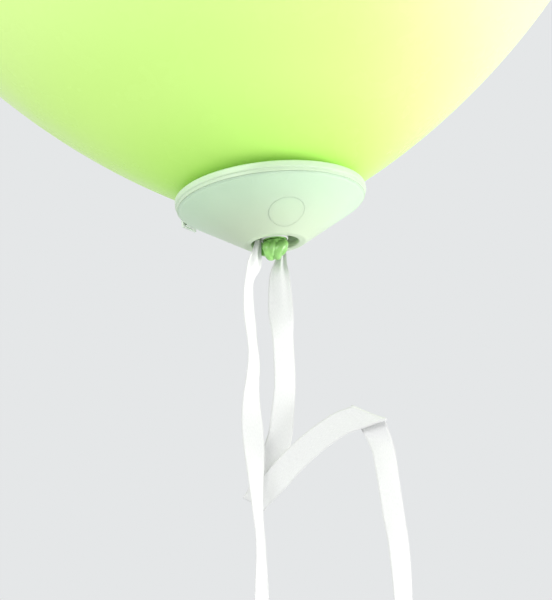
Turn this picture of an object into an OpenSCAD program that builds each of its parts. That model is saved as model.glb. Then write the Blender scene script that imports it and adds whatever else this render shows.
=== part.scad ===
// Latex party balloon with a light pod threaded on its neck and a satin ribbon tied under it.
// Millimetres. +Z runs up the balloon. The origin is on the neck, in the pod's lower mouth.

/* [Balloon] */
// Radius of the blown balloon at its widest
balloon_r = 154; // [150:1:158]
// Height of the widest ring above the pod's mouth
equator_z = 194; // [192:0.5:196]
// Radius of the straighter flank between the round top and the pod
flank_r = 335; // [310:5:360]
// Slope at which the round top runs into the flank, in degrees
flank_slope = 50; // [48:0.5:52]
// Thickness of the modelled skin
skin_t = 0.3; // [0.25:0.05:0.4]
// Radius of the drawn-in neck
neck_r = 4.2; // [4:0.1:4.4]

/* [Knot and ribbon] */
// Radius of the knot in the neck
knot_r = 5; // [4.6:0.1:5.2]
// Length of the knot along the neck
knot_len = 7.8; // [7:0.1:8.5]
// Width of the ribbon
ribbon_w = 9.5; // [8:0.5:10]
// Thickness of the modelled ribbon
ribbon_t = 1; // [0.8:0.1:1.2]

/* [Light pod] */
// Radius of the pod over its lip
pod_r = 36.2; // [36:0.1:36.6]
// Height of the pod
pod_h = 20; // [19.9:0.05:20.1]
// Wall of both shells
shell_wall = 1.2; // [1.1:0.05:1.3]
// Radius of the hole that the neck goes through
mouth_r = 9; // [8.8:0.1:9.2]
// Slope of the diffuser dome, in degrees
dome_slope = 33; // [32.5:0.25:33.5]
// Fall of the cradle from the lip to the mouth, in degrees
cradle_slope = 5; // [4.5:0.25:5.5]

/* [Press pad and switch] */
// Radius of the press pad
pad_r = 6.5; // [6:0.1:6.8]
// Gap round the press pad
pad_gap = 0.3; // [0.2:0.05:0.35]
// Direction of the press pad round the pod, in degrees
pad_az = -74; // [-90:1:-60]
// Travel of the press pad
pad_travel = 0.5; // [0.4:0.05:0.5]

/* [Electronics] */
// Thickness of the circuit board
board_t = 1; // [0.8:0.1:1]
// Outer radius of the circuit board
board_r = 27.8; // [26.5:0.1:28]
// Diameter of the coin cell
cell_d = 16; // [15:0.5:16]
// Thickness of the coin cell
cell_t = 2; // [1.6:0.1:2]
// Number of lamps round the board, one place being the switch's
lamp_places = 6; // [5:1:7]
// Direction of the pull tab round the pod, in degrees
tab_az = 150; // [145:1:155]
// Width of the pull tab's grip
tab_w = 9; // [8:0.5:11]

/* [Hidden] */
$fn = 96;

latex = "yellowgreen";
frosted = "honeydew";
satin = "whitesmoke";
metal = "silver";

// Skin: how far it stands off the pod, where the neck starts, and where it rests on the cradle
skin_gap = 0.4;
funnel_r = 8.5;
low_slope = 32.5;
rest_r = 28;

// Pod: the lip, the band under it, and the seam between the two shells
lip_z = pod_h - 2.4;
band_r = pod_r - 0.5;
seam_z = 16;
seam_gap = 0.3;
dome_r = band_r - 0.4;
foot_r = 12;
foot_round = 1.4;
cradle_r = pod_r - 1.5;
cradle_z = pod_h - 0.3;
collar_z = 2.5;
spigot_r = band_r - shell_wall - 0.2;
spigot_z = seam_z + 1.2;

// Board and what stands on it
board_z = 12.4;
board_top = board_z + board_t;
board_bore = mouth_r + shell_wall + 0.6;
screw_az = [70, -30, -130];
screw_ring_r = 23.5;
screw_r = 0.8;
screw_clear = 0.05;
head_r = 1.5;
head_h = 1;
screw_bite = 2.6;
screw_bore_h = 4;
boss_r = 2;
lamp_ring_r = 16.5;
lamp_size = [2.8, 3.5, 1.9];
chip_ring_r = 17;
chip_az = 16;
chip_r = 2.6;
chip_h = 1.2;

// Cell, its clip and the pull tab's film
cell_ring_r = 20.3;
contact_t = 0.35;
contact_r = 4;
cell_z = board_top + contact_t + 0.05;
cell_top = cell_z + cell_t;
cell_play = 0.15;
cell_wall = 0.8;
film_t = 0.15;
film_z = cell_top + 0.05;
film_w = tab_w - 2;
film_in_r = cell_ring_r - 4;
clip_z = film_z + film_t + 0.1;
clip_t = 0.25;
clip_w = 4;
clip_span = cell_d + 2 * (cell_play + cell_wall) + 2;
grip_t = 0.8;
grip_in_r = pod_r + 0.6;
grip_h = 4.8;
slot_h = 0.7;
slot_play = 0.4;
slot_reach = 30;
film_grip_drop = 0.7;

// Press pad, along the dome's normal
pad_ring_r = 20;
flange_extra = 0.6;
flange_t = 0.4;
pad_depth = shell_wall + 0.9;
nub_r = 1.2;
nub_reach = 3.5;
switch_w = 4.5;
switch_h = 1.6;
stem_r = 1.1;
stem_gap = 0.1;
stem_in = 0.5;
stem_room = pad_travel + 0.2;

// Shoulder of the dome, just under the seam
shoulder_in = 0.7;
shoulder_rise = 0.3;

// Points of an arc about (cx, cz), from angle a to angle b
function arc(cx, cz, r, a, b, steps = 12) =
    [for (i = [0 : steps]) let (t = a + (b - a) * i / steps) [cx + r * cos(t), cz + r * sin(t)]];

// Height of the dome's outside and of the cradle's top at a radius
function dome_z(r) = foot_round * (1 - cos(dome_slope)) + (r - foot_r) * tan(dome_slope);
function cradle_top(r) = cradle_z - (cradle_r - r) * tan(cradle_slope);

// Outside of the blown skin, offset inwards by d: pole, round top, flank, then flat on the cradle
round_end = [balloon_r * sin(flank_slope), equator_z - balloon_r * cos(flank_slope)];
flank_c = round_end + flank_r * [-sin(flank_slope), cos(flank_slope)];
function skin(d) = concat(
    arc(0, equator_z, balloon_r - d, 90, flank_slope - 90, 48),
    arc(flank_c[0], flank_c[1], flank_r - d, flank_slope - 90, low_slope - 90, 8),
    [[rest_r, cradle_top(rest_r) + skin_gap + d],
     [funnel_r, cradle_top(funnel_r) + skin_gap + d]]
);

// The skin goes down the pod's tube and draws in over the ribbon's turn, as the bottom of a bag does
funnel_z = cradle_top(funnel_r) + skin_gap;
bag_low = 3.9;
bag_r = funnel_r - neck_r;
bag_steps = 10;
function reversed(p) = [for (i = [len(p) - 1 : -1 : 0]) p[i]];

module at_az(az, r, z = 0) {
    rotate([0, 0, az]) translate([r, 0, z]) children();
}

// Axis of the press pad: local +Z points into the pod from the dome's outside
module on_pad_axis() {
    at_az(pad_az, pad_ring_r, dome_z(pad_ring_r)) rotate([0, -dome_slope, 0]) children();
}

// ---- Balloon: one dipped skin ----
module balloon_body() {
    color(latex) rotate_extrude() polygon(concat(skin(0), reversed(skin(skin_t))));
}

module balloon_neck() {
    outer = concat(
        [[funnel_r, funnel_z + skin_t]],
        arc(neck_r, bag_low + bag_r, bag_r, 0, -90, bag_steps),
        [[neck_r, knot_top]]
    );
    inner = concat(
        [[neck_r - skin_t, knot_top], [neck_r - skin_t, bag_low + skin_t]],
        arc(neck_r, bag_low + bag_r, bag_r - skin_t, -90, 0, bag_steps),
        [[funnel_r - skin_t, funnel_z + skin_t]]
    );
    color(latex) rotate_extrude() polygon(concat(outer, inner));
}

// Overhand knot, drawn as its outer shape
knot_top = 1;
knot_low = knot_top - knot_len;
knot_waist = neck_r;
module neck_knot() {
    color(latex) rotate_extrude() polygon([
        [0, knot_top],
        [knot_waist, knot_top],
        [knot_r, knot_top - 2],
        [knot_r, knot_low + 3],
        [knot_waist, knot_low],
        [0, knot_low]
    ]);
}

// Spare end of the neck, tucked up into the pod's mouth behind the knot, and its rolled lip
tail_az = 140;
tail_ring_r = 6.4;
tail_w = 5;
tail_t = 1.2;
tail_low = -3;
tail_top = 2;
bead_r = 0.9;
module neck_tail() {
    color(latex) at_az(tail_az, tail_ring_r, tail_low)
        translate([-tail_t / 2, -tail_w / 2, 0]) cube([tail_t, tail_w, tail_top - tail_low]);
}

module lip_bead() {
    color(latex) at_az(tail_az, tail_ring_r, tail_top + bead_r)
        rotate([90, 0, 0]) cylinder(r = bead_r, h = tail_w, center = true);
}

// ---- Ribbon ----
// Stations of the flat strip: x, y, z, the turn of its face from the front in degrees, and how
// far it is spread: 1 is its full width, less is gathered
loop_low = knot_top + 0.1;
loop_h = 2.6;
loop_t = 1.1;
left_route = [
    [-6, -1.2, 2, 70, 0.3], [-7, -1.8, -3, 52, 0.45], [-8.5, -2.2, -8, 56, 0.8], [-10.6, -2.6, -13, 76, 1],
    [-11.8, -3, -21, 69, 1], [-12.1, -3.4, -30, 64, 1], [-11.9, -3.8, -38, 68, 1], [-12, -4.2, -46, 66, 1],
    [-13.4, -5, -55, 60, 1], [-14.6, -5.6, -64, 45, 1], [-15, -5.8, -74, 35, 1], [-15.2, -6, -84, 42, 1],
    [-15.6, -6.2, -94, 58, 1], [-15.9, -6.2, -105, 68, 1], [-16, -5.6, -118, 68, 1], [-18, -3, -140, 55, 1],
    [-21, 1, -165, 40, 1], [-23, 4, -190, 30, 1], [-23, 4, -215, 40, 1], [-21, 1, -240, 55, 1],
    [-20, -2, -265, 70, 1], [-22, -3, -290, 60, 1], [-25, -1, -315, 45, 1], [-26, 1, -340, 35, 1]
];
upper_route = [
    [2.6, 5.4, 2, 20, 0.3], [2.2, 6.2, -2, 20, 0.35], [1.4, 6, -6, 15, 0.5], [0.6, 5.4, -11, 10, 0.8],
    [0, 4.6, -19, 10, 0.95], [-0.4, 3.8, -27, 10, 1], [-0.6, 3.4, -36, 35, 1], [-1, 3.2, -46, 35, 1],
    [-1.8, 3, -56, 35, 1], [-3.4, 2.8, -65, 30, 1], [-5, 2.6, -73, 25, 1], [-8, 2.4, -81, 15, 1],
    [-12, 2.2, -90, 8, 1], [-16.6, 2, -98.6, 0, 1]
];
arch_route = [
    [-16.6, 0.4, -98.6, 0, 1], [-8.5, -0.4, -91.4, 0, 1], [-0.3, -0.8, -84, 0, 1], [8, -0.8, -77.7, 0, 1],
    [16, -0.6, -73, 0, 1], [24, -0.2, -70, 0, 1], [29, 0, -69, 0, 1]
];
lower_route = [
    [30, 2.2, -71, 10, 1], [31.4, 2.2, -79, 20, 1], [32.4, 1.8, -88, 25, 1], [32.8, 1, -98, 30, 1],
    [33.2, 0, -109, 30, 1], [33.8, -1, -121, 35, 1], [33, -2, -143, 45, 1], [30, -1, -168, 50, 1],
    [28, 2, -193, 40, 1], [29, 4, -218, 25, 1], [32, 4, -243, 15, 1], [34, 2, -268, 25, 1],
    [33, 0, -293, 40, 1], [31, -1, -318, 45, 1], [30, 0, -343, 40, 1]
];

function unit(v) = v / norm(v);
function place(s) = [s[0], s[1], s[2]];
function along(p, i) = unit(place(p[min(i + 1, len(p) - 1)]) - place(p[max(i - 1, 0)]));
function facing(a) = [sin(a), -cos(a), 0];

// One ring of the strip's cross-section: a flat oval with eight corners
oval_sides = 8;
function strip_ring(p, i) =
    let (
        t = along(p, i),
        side = unit(cross(t, facing(p[i][3]))),
        up = cross(side, t)
    )
    [for (k = [0 : oval_sides - 1]) let (a = 360 * (k + 0.5) / oval_sides)
        place(p[i]) + side * (p[i][4] * ribbon_w / 2) * cos(a) + up * (ribbon_t / 2) * sin(a)];

module strip(route) {
    n = len(route);
    points = [for (i = [0 : n - 1]) each strip_ring(route, i)];
    walls = [for (i = [0 : n - 2]) for (k = [0 : oval_sides - 1])
        let (j = (k + 1) % oval_sides, a = i * oval_sides, b = a + oval_sides)
        each [[a + k, a + j, b + j], [a + k, b + j, b + k]]];
    first = [for (k = [oval_sides - 1 : -1 : 0]) k];
    last = [for (k = [0 : oval_sides - 1]) (n - 1) * oval_sides + k];
    color(satin) polyhedron(points = points, faces = concat([first], walls, [last]), convexity = 6);
}

module ribbon_loop() {
    color(satin) translate([0, 0, loop_low]) difference() {
        cylinder(r = neck_r + loop_t, h = loop_h);
        translate([0, 0, -1]) cylinder(r = neck_r + 0.02, h = loop_h + 2);
    }
}

module ribbon_left() { strip(left_route); }
module ribbon_right_upper() { strip(upper_route); }
module ribbon_right_arch() { strip(arch_route); }
module ribbon_right_lower() { strip(lower_route); }

// ---- Light pod ----
// Upper shell: a lip and band outside, a shallow cradle for the balloon and a tube round the neck
module top_cover() {
    skirt = shell_wall;
    bore = mouth_r;
    color(frosted) difference() {
        union() {
            rotate_extrude() polygon([
                [bore, collar_z],
                [bore, cradle_top(bore + 1)],
                [bore + 1, cradle_top(bore + 1)],
                [cradle_r, cradle_z],
                [cradle_r + 0.6, pod_h],
                [pod_r - 0.5, pod_h],
                [pod_r, pod_h - 0.5],
                [pod_r, lip_z],
                [band_r, lip_z - 0.4],
                [band_r, seam_z],
                [band_r - skirt, seam_z],
                [band_r - skirt, lip_z],
                [cradle_r - 1, cradle_top(cradle_r - 1) - shell_wall],
                [bore + shell_wall, cradle_top(bore + shell_wall) - shell_wall],
                [bore + shell_wall, collar_z]
            ]);
            for (az = screw_az) at_az(az, screw_ring_r, board_top)
                cylinder(r = boss_r, h = cradle_top(screw_ring_r) - shell_wall / 2 - board_top);
        }
        for (az = screw_az) at_az(az, screw_ring_r, board_top - 1) cylinder(r = screw_r + screw_clear, h = screw_bore_h);
        tab_slot();
    }
}

module tab_slot() {
    at_az(tab_az, 0, film_z + film_t / 2)
        translate([film_in_r, -film_w / 2 - slot_play, -slot_h / 2])
            cube([slot_reach, film_w + 2 * slot_play, slot_h]);
}

// Lower shell: the milky diffuser, with a spigot inside the band and a hole for the press pad
dome_rise = shell_wall / cos(dome_slope);
shoulder_r = dome_r - shoulder_in;
module dome_cover() {
    w = shell_wall;
    color(frosted) difference() {
        rotate_extrude() polygon(concat(
            [[mouth_r, collar_z], [mouth_r, 0.3], [mouth_r + 0.3, 0]],
            arc(foot_r - foot_round * sin(dome_slope), foot_round, foot_round, -90, dome_slope - 90, 5),
            [[shoulder_r, dome_z(shoulder_r)],
             [dome_r - 0.4, dome_z(shoulder_r) + shoulder_rise],
             [dome_r, seam_z - seam_gap - 0.25],
             [dome_r, seam_z - seam_gap],
             [spigot_r, seam_z - seam_gap],
             [spigot_r, spigot_z],
             [spigot_r - w, spigot_z],
             [spigot_r - w, dome_z(spigot_r - w) + dome_rise],
             [foot_r, dome_z(foot_r) + dome_rise],
             [mouth_r + w, w],
             [mouth_r + w, collar_z]]
        ));
        on_pad_axis() translate([0, 0, -3]) cylinder(r = pad_r + pad_gap, h = 7);
        tab_slot();
    }
}

module circuit_board() {
    color("seagreen") difference() {
        translate([0, 0, board_z]) cylinder(r = board_r, h = board_t);
        translate([0, 0, board_z - 1]) cylinder(r = board_bore, h = board_t + 2);
        for (az = screw_az) at_az(az, screw_ring_r, board_z - 1) cylinder(r = screw_r + 0.15, h = board_t + 2);
    }
}

module lamps() {
    color("lightyellow") for (i = [1 : lamp_places - 1])
        at_az(pad_az + i * 360 / lamp_places, lamp_ring_r, board_z - lamp_size[2] / 2)
            cube(lamp_size, center = true);
}

module flasher_chip() {
    color("dimgray") at_az(chip_az, chip_ring_r, board_top) cylinder(r = chip_r, h = chip_h);
}

module board_screws() {
    color(metal) for (az = screw_az) at_az(az, screw_ring_r, board_z - head_h) {
        cylinder(r = head_r, h = head_h);
        cylinder(r = screw_r, h = head_h + board_t + screw_bite);
    }
}

// ---- Press pad and switch ----
nub_centre_r = pad_ring_r - nub_reach * sin(dome_slope);
nub_centre_z = dome_z(pad_ring_r) + nub_reach * cos(dome_slope);
stem_z = nub_centre_z + nub_r + stem_gap;

// The pad's face lies in the dome's own cone, so it is flush; a flange behind it holds it in
module press_pad() {
    color("white") union() {
        intersection() {
            on_pad_axis() translate([0, 0, -1]) cylinder(r = pad_r, h = pad_depth + 1.2);
            rotate_extrude() polygon([
                [foot_r, dome_z(foot_r)],
                [shoulder_r, dome_z(shoulder_r)],
                [shoulder_r, pod_h],
                [foot_r, pod_h]
            ]);
        }
        on_pad_axis() rotate_extrude() polygon(concat(
            [[0, pad_depth], [pad_r + flange_extra, pad_depth],
             [pad_r + flange_extra, pad_depth + flange_t], [nub_r, pad_depth + flange_t]],
            arc(0, nub_reach, nub_r, 0, 90)
        ));
    }
}

module switch_body() {
    color("dimgray") at_az(pad_az, nub_centre_r) difference() {
        translate([-switch_w / 2, -switch_w / 2, board_z - switch_h]) cube([switch_w, switch_w, switch_h]);
        translate([0, 0, board_z - switch_h - 1]) cylinder(r = stem_r + 0.05, h = 1 + stem_in + stem_room);
    }
}

module switch_stem() {
    color("darkred") at_az(pad_az, nub_centre_r, stem_z)
        cylinder(r = stem_r, h = board_z - switch_h + stem_in - stem_z);
}

// ---- Coin cell, contacts and pull tab ----
module on_cell() {
    at_az(tab_az, cell_ring_r) children();
}

module coin_cell() {
    color(metal) on_cell() translate([0, 0, cell_z]) cylinder(d = cell_d, h = cell_t);
}

module cell_ring() {
    hole = cell_d / 2 + cell_play;
    color("white") on_cell() translate([0, 0, board_top]) difference() {
        cylinder(r = hole + cell_wall, h = contact_t + cell_t - 0.2);
        translate([0, 0, -1]) cylinder(r = hole, h = cell_t + 3);
    }
}

// Spring clip that bridges the cell, with a foot on the board at each end
module cell_clip() {
    leg = clip_t * 2;
    color(metal) on_cell() translate([-clip_w / 2, 0, 0]) {
        translate([0, -clip_span / 2, clip_z]) cube([clip_w, clip_span, clip_t]);
        for (s = [-1, 1]) translate([0, s * (clip_span - leg) / 2 - leg / 2, board_top])
            cube([clip_w, leg, clip_z + clip_t - board_top]);
    }
}

module cell_contact() {
    color("gold") on_cell() translate([0, 0, board_top]) cylinder(r = contact_r, h = contact_t);
}

module pull_tab() {
    color("aliceblue") at_az(tab_az, 0, film_z) union() {
        translate([film_in_r, -film_w / 2, 0]) cube([grip_in_r + grip_t / 2 - film_in_r, film_w, film_t]);
        translate([grip_in_r, -tab_w / 2, -film_grip_drop]) cube([grip_t, tab_w, grip_h]);
    }
}

balloon_body();
balloon_neck();
neck_knot();
neck_tail();
lip_bead();
ribbon_loop();
ribbon_left();
ribbon_right_upper();
ribbon_right_arch();
ribbon_right_lower();
top_cover();
dome_cover();
circuit_board();
lamps();
flasher_chip();
board_screws();
switch_body();
switch_stem();
press_pad();
coin_cell();
cell_ring();
cell_clip();
cell_contact();
pull_tab();
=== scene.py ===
import math

import bmesh
import bpy
from bpy.props import FloatProperty, FloatVectorProperty, IntProperty, PointerProperty
from mathutils import Matrix, Vector


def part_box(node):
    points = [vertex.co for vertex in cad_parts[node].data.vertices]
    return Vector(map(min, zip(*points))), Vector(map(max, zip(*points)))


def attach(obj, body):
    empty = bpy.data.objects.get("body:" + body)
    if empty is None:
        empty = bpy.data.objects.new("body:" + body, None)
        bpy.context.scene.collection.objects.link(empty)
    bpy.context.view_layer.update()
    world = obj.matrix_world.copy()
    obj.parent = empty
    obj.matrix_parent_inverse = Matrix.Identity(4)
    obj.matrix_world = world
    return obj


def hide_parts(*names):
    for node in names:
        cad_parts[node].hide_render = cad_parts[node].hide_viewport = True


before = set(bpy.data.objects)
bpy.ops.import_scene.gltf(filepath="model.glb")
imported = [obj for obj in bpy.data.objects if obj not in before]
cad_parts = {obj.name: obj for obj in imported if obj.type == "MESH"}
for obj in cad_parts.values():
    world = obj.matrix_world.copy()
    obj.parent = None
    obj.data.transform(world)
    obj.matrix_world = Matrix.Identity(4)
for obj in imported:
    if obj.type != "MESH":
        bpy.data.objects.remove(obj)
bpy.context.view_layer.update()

bl_info = {
    "name": "Latex balloon with light pod and ribbon",
    "version": (1, 0, 0),
    "blender": (4, 5, 0),
    "location": "View3D > Sidebar > Balloon",
    "description": "Builds a blown latex balloon, its light pod and its satin ribbon",
    "category": "Object",
}

MM = 0.001
BODY_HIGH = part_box("balloon_body")[1]
NECK_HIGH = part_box("balloon_neck")[1]
KNOT_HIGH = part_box("neck_knot")[1]
TAIL_LOW, TAIL_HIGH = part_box("neck_tail")
BEAD_LOW, BEAD_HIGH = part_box("lip_bead")
LOOP_LOW, LOOP_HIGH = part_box("ribbon_loop")
LAMP_LOW, LAMP_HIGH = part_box("lamps")
SCREW_LOW, SCREW_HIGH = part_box("board_screws")
QUARTER_TURN = math.pi / 2

# The neck is 4.2 mm in radius to the knot's 5 mm, and the pod's cradle rises at 5 degrees
NECK_R = KNOT_HIGH.x * 4.2 / 5
CRADLE_SLOPE = math.radians(5)

# The spare end's place round the neck, with the ways across it and outwards
SPARE_TURN = math.radians(140)
SPARE_ACROSS = Vector((-math.sin(SPARE_TURN), math.cos(SPARE_TURN), 0))
SPARE_OUT = Vector((math.cos(SPARE_TURN), math.sin(SPARE_TURN), 0))

# The pod's dome, and the press pad square to its face
SEAM_Z, SEAM_LIFT = 15.7 * MM, 0.26 * MM
DOME_FOOT_R, DOME_FOOT_Z, DOME_SLOPE = 12 * MM, 0.226 * MM, math.radians(33)
PAD_RING, PAD_TURN, PAD_SPREAD = 20 * MM, math.radians(-74), 0.23 * MM
PAD_AXIS = Vector((-math.sin(DOME_SLOPE) * math.cos(PAD_TURN),
                   -math.sin(DOME_SLOPE) * math.sin(PAD_TURN), math.cos(DOME_SLOPE)))
PAD_CENTRE = Vector((PAD_RING * math.cos(PAD_TURN), PAD_RING * math.sin(PAD_TURN),
                     DOME_FOOT_Z + (PAD_RING - DOME_FOOT_R) * math.tan(DOME_SLOPE)))

# The view: its frame, where the pod stands in it, and its focal length, all in the same unit
FRAME_W, FRAME_H, POD_X, POD_Y, FOCAL = 552, 600, 270.0, 193.5, 2910.0
POD_POINT = Vector((0, 0, 0.02))

# Stations of the ribbon: x, y, z in millimetres, turn of its face from the front in degrees, and
# spread, the share of its full width
LEFT_ROUTE = (
    (-6, -1.2, 2, 70, 0.3), (-7, -1.8, -3, 52, 0.45), (-8.5, -2.2, -8, 56, 0.8),
    (-10.6, -2.6, -13, 76, 1), (-11.8, -3, -21, 69, 1), (-12.1, -3.4, -30, 64, 1),
    (-11.9, -3.8, -38, 68, 1), (-12, -4.2, -46, 66, 1), (-13.4, -5, -55, 60, 1),
    (-14.6, -5.6, -64, 45, 1), (-15, -5.8, -74, 35, 1), (-15.2, -6, -84, 42, 1),
    (-15.6, -6.2, -94, 58, 1), (-15.9, -6.2, -105, 68, 1), (-16, -5.6, -118, 68, 1),
    (-18, -3, -140, 55, 1), (-21, 1, -165, 40, 1), (-23, 4, -190, 30, 1),
    (-23, 4, -215, 40, 1), (-21, 1, -240, 55, 1), (-20, -2, -265, 70, 1),
    (-22, -3, -290, 60, 1), (-25, -1, -315, 45, 1), (-26, 1, -340, 35, 1),
)
UPPER_ROUTE = (
    (2.6, 5.4, 2, 20, 0.3), (2.2, 6.2, -2, 20, 0.35), (1.4, 6, -6, 15, 0.5),
    (0.6, 5.4, -11, 10, 0.8), (0, 4.6, -19, 10, 0.95), (-0.4, 3.8, -27, 10, 1),
    (-0.6, 3.4, -36, 35, 1), (-1, 3.2, -46, 35, 1), (-1.8, 3, -56, 35, 1),
    (-3.4, 2.8, -65, 30, 1), (-5, 2.6, -73, 25, 1), (-8, 2.4, -81, 15, 1),
    (-12, 2.2, -90, 8, 1),
)
ARCH_ROUTE = (
    (-8.5, -0.4, -91.4, 0, 1), (-0.3, -0.8, -84, 0, 1), (8, -0.8, -77.7, 0, 1),
    (16, -0.6, -73, 0, 1), (19.5, -0.4, -71.6, 0, 1),
)
LOWER_ROUTE = (
    (31.8, 2.2, -82, 20, 1), (32.4, 1.8, -88, 25, 1), (32.8, 1, -98, 30, 1),
    (33.2, 0, -109, 30, 1), (33.8, -1, -121, 35, 1), (33, -2, -143, 45, 1),
    (30, -1, -168, 50, 1), (28, 2, -193, 40, 1), (29, 4, -218, 25, 1),
    (32, 4, -243, 15, 1), (34, 2, -268, 25, 1), (33, 0, -293, 40, 1),
    (31, -1, -318, 45, 1), (30, 0, -343, 40, 1),
)
# Creases: the end on the ribbon's plus edge, the end on its minus edge, depth before and after,
# and the way the bend bulges
LOW_CREASE = ((-20.5, -95.6), (-13.2, -101.4), 2.0, 0.4, (-0.61, -0.79))
HIGH_CREASE = ((21.8, -66.2), (34.2, -72.6), -0.2, 2.2, (0.5, 0.87))
ROW_STEP = 1.6 * MM
CUT_SLANT = 4 * MM
CLOTH_STEPS = 16


class BalloonSizes(bpy.types.PropertyGroup):
    skin_wall: FloatProperty(name="Skin wall", description="Thickness of the modelled latex",
                             default=0.3 * MM, unit="LENGTH")
    flank_radius: FloatProperty(name="Flank radius", description="Arc between round top and pod",
                                default=335 * MM, unit="LENGTH")
    flank_slope: FloatProperty(name="Flank slope", description="Slope where the round top ends",
                               default=math.radians(50), subtype="ANGLE")
    low_slope: FloatProperty(name="Low slope", description="Slope where the flank goes straight",
                             default=math.radians(32.5), subtype="ANGLE")
    rest_radius: FloatProperty(name="Rest radius", description="Where the skin meets the cradle",
                               default=28 * MM, unit="LENGTH")
    skin_turns: IntProperty(name="Skin turns", description="Facets round the balloon", default=224)
    ribbon_width: FloatProperty(name="Ribbon width", description="Width of the satin ribbon",
                                default=9.5 * MM, unit="LENGTH")
    ribbon_wall: FloatProperty(name="Ribbon thickness", description="Thickness of the satin",
                               default=0.24 * MM, unit="LENGTH")
    edge_wall: FloatProperty(name="Selvedge thickness", description="Thickness at the woven edge",
                             default=0.34 * MM, unit="LENGTH")
    left_length: FloatProperty(name="Left tail length", description="Length of the left tail",
                               default=0.345, unit="LENGTH")
    right_length: FloatProperty(name="Right tail length", description="Length of the right tail",
                                default=0.437, unit="LENGTH")


class BalloonColours(bpy.types.PropertyGroup):
    latex: FloatVectorProperty(name="Latex", description="Colour of the blown latex",
                               subtype="COLOR", size=4, default=(0.69, 0.95, 0.31, 1))
    latex_deep: FloatVectorProperty(name="Unstretched latex", description="Neck and knot",
                                    subtype="COLOR", size=4, default=(0.24, 0.52, 0.13, 1))
    satin: FloatVectorProperty(name="Satin", description="Colour of the ribbon",
                               subtype="COLOR", size=4, default=(0.73, 0.73, 0.725, 1))
    frosted: FloatVectorProperty(name="Frosted plastic", description="Colour of both shells",
                                 subtype="COLOR", size=4, default=(0.55, 0.66, 0.47, 1))
    # Painted light: the balloon's green light passing through the plastic, painted in as a colour
    latex_glow: FloatVectorProperty(name="Mint tint", description="Latex colour showing in the plastic",
                              subtype="COLOR", size=4, default=(0.54, 0.80, 0.55, 1))


class BalloonStage(bpy.types.PropertyGroup):
    distance: FloatProperty(name="Distance", description="Camera to the pod",
                            default=1.1, unit="LENGTH")
    elevation: FloatProperty(name="Look up", description="How steeply the camera looks up",
                             default=math.radians(19.5), subtype="ANGLE")
    roll: FloatProperty(name="Roll", description="Lean of the balloon to the left",
                        default=math.radians(5.7), subtype="ANGLE")
    key_power: FloatProperty(name="Key light", description="Power of the key light", default=32)
    front_power: FloatProperty(name="Front light", description="Power of the front light",
                               default=20)


# ---- Meshes ----
def smooth_mesh(name, points, faces, uvs=None):
    """A mesh from points and faces, with smooth faces and, when given, one UV for each corner."""
    mesh = bpy.data.meshes.new(name)
    mesh.from_pydata([tuple(p) for p in points], [], faces)
    if uvs is not None:
        layer = mesh.uv_layers.new(name="Cloth")
        for loop in mesh.loops:
            layer.data[loop.index].uv = uvs[loop.vertex_index]
    mesh.validate()
    for polygon in mesh.polygons:
        polygon.use_smooth = True
    return mesh


def outward(mesh):
    """Turns every face of a closed mesh outwards."""
    work = bmesh.new()
    work.from_mesh(mesh)
    bmesh.ops.recalc_face_normals(work, faces=work.faces)
    work.to_mesh(mesh)
    work.free()
    return mesh


def piece(name, mesh, finish, body, slot, *nodes):
    """Hangs a finished mesh on its body and hides the solids it stands in for."""
    mesh.name = name
    made = bpy.data.objects.new(name, mesh)
    bpy.context.scene.collection.objects.link(made)
    mesh.materials.clear()
    mesh.materials.append(finish)
    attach(made, body)
    if nodes:
        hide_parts(*nodes)
    return made


def evaluated(source, name):
    """A plain mesh of an object as its modifiers leave it; the object is then removed."""
    bpy.context.view_layer.update()
    graph = bpy.context.evaluated_depsgraph_get()
    mesh = bpy.data.meshes.new_from_object(source.evaluated_get(graph))
    old = source.data
    bpy.data.objects.remove(source)
    bpy.data.meshes.remove(old)
    mesh.name = name
    return mesh


def lathe(name, outline, turns):
    """Turns an outline of (radius, height) about Z, closed at a radius of nought or on itself."""
    points, rings = [], []
    nought = 1e-7
    for radius, height in outline:
        if radius < nought:
            rings.append([len(points)] * turns)
            points.append((0, 0, height))
            continue
        rings.append(list(range(len(points), len(points) + turns)))
        for i in range(turns):
            a = 2 * math.pi * i / turns
            points.append((radius * math.cos(a), radius * math.sin(a), height))
    pairs = list(zip(rings, rings[1:]))
    if outline[0][0] > nought and outline[-1][0] > nought:
        pairs.append((rings[-1], rings[0]))
    faces = []
    for low, high in pairs:
        for i in range(turns):
            j = (i + 1) % turns
            face = []
            for v in (low[i], low[j], high[j], high[i]):
                if v not in face:
                    face.append(v)
            if len(face) > 2:
                faces.append(face)
    return outward(smooth_mesh(name, points, faces))


def arc(cx, cz, radius, start, end, steps):
    """Points of an arc about (cx, cz), angles in radians."""
    return [
        (cx + radius * math.cos(start + (end - start) * i / steps),
         cz + radius * math.sin(start + (end - start) * i / steps))
        for i in range(steps + 1)
    ]


def curve_through(stations, step):
    """Even Catmull-Rom samples of equal tuples, about a step apart by their first three."""
    made = []
    count = len(stations)
    for i in range(count - 1):
        a, b, c, d = (stations[min(max(k, 0), count - 1)] for k in (i - 1, i, i + 1, i + 2))
        parts = max(1, round(math.dist(b[:3], c[:3]) / step))
        for k in range(parts):
            t = k / parts
            made.append(tuple(
                0.5 * (2 * q + (r - p) * t + (2 * p - 5 * q + 4 * r - s) * t * t
                       + (3 * q - p - 3 * r + s) * t ** 3)
                for p, q, r, s in zip(a, b, c, d)
            ))
    made.append(tuple(stations[-1]))
    return made


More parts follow.
